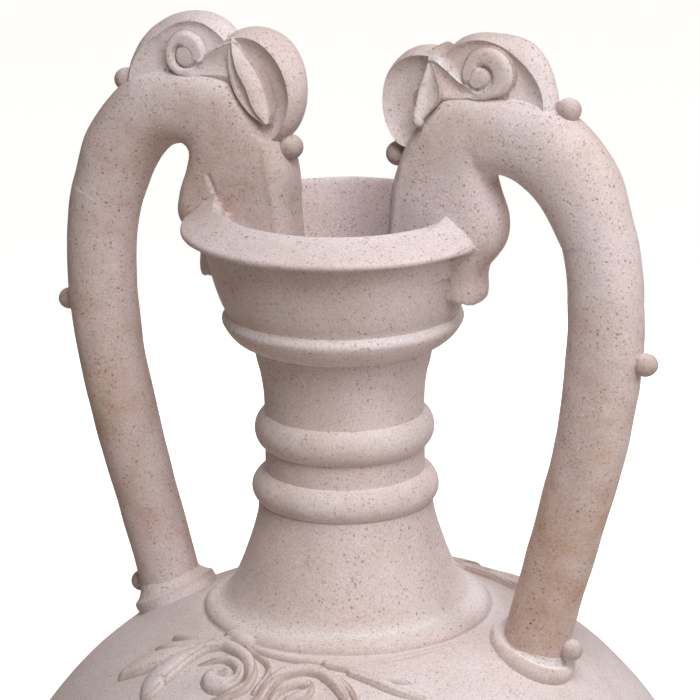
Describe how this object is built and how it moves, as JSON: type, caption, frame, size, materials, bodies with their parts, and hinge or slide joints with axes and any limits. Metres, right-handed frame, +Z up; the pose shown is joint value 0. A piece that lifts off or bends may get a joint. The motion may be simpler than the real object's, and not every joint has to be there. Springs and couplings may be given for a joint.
{
  "type": "stoneware vase",
  "caption": "Unglazed stoneware amphora with a flaring cup mouth and handles that bite the rim as dragon heads; it stands on a flat foot and holds flowers or water.",
  "frame": {"origin": "middle of the flat foot, on the surface that it stands on", "axes": "+Z up the axis of the vase; the two handles stand on the X axis, one at -X and one at +X"},
  "size_m": [0.324, 0.324, 0.605],
  "materials": {
    "body": "unglazed stoneware, matt, pale pinkish beige with fine brown grog specks",
    "neck": "unglazed stoneware, matt, pale pinkish beige with fine brown grog specks",
    "handles": "unglazed stoneware, matt, slightly warmer, with rust bloom and brown specks",
    "applied": "unglazed stoneware, matt, paler on its ridges, with chalky slip in the creases"
  },
  "bodies": {
    "root": {"foot_body": "body", "shoulder_body": "body", "neck_skirt": "neck", "neck_tube": "neck", "neck_ring_lower": "applied", "neck_ring_upper": "applied", "mouth_collar": "neck", "mouth_cup": "neck", "left_handle": "handles", "left_handle_foot_roll": "applied", "left_foot_pellet": "applied", "left_mid_pellet": "applied", "left_nape_pellet": "applied", "left_brow_pellet": "applied", "left_dragon_head": "handles", "left_beard": "handles", "left_rear_crest": "applied", "left_front_crest": "applied", "left_curl": "applied", "left_ear_front": "applied", "left_ear_back": "applied", "right_handle": "handles", "right_handle_foot_roll": "applied", "right_foot_pellet": "applied", "right_mid_pellet": "applied", "right_nape_pellet": "applied", "right_brow_pellet": "applied", "right_dragon_head": "handles", "right_beard": "handles", "right_rear_crest": "applied", "right_front_crest": "applied", "right_curl": "applied", "right_ear_front": "applied", "right_ear_back": "applied"}
  },
  "joints": []
}
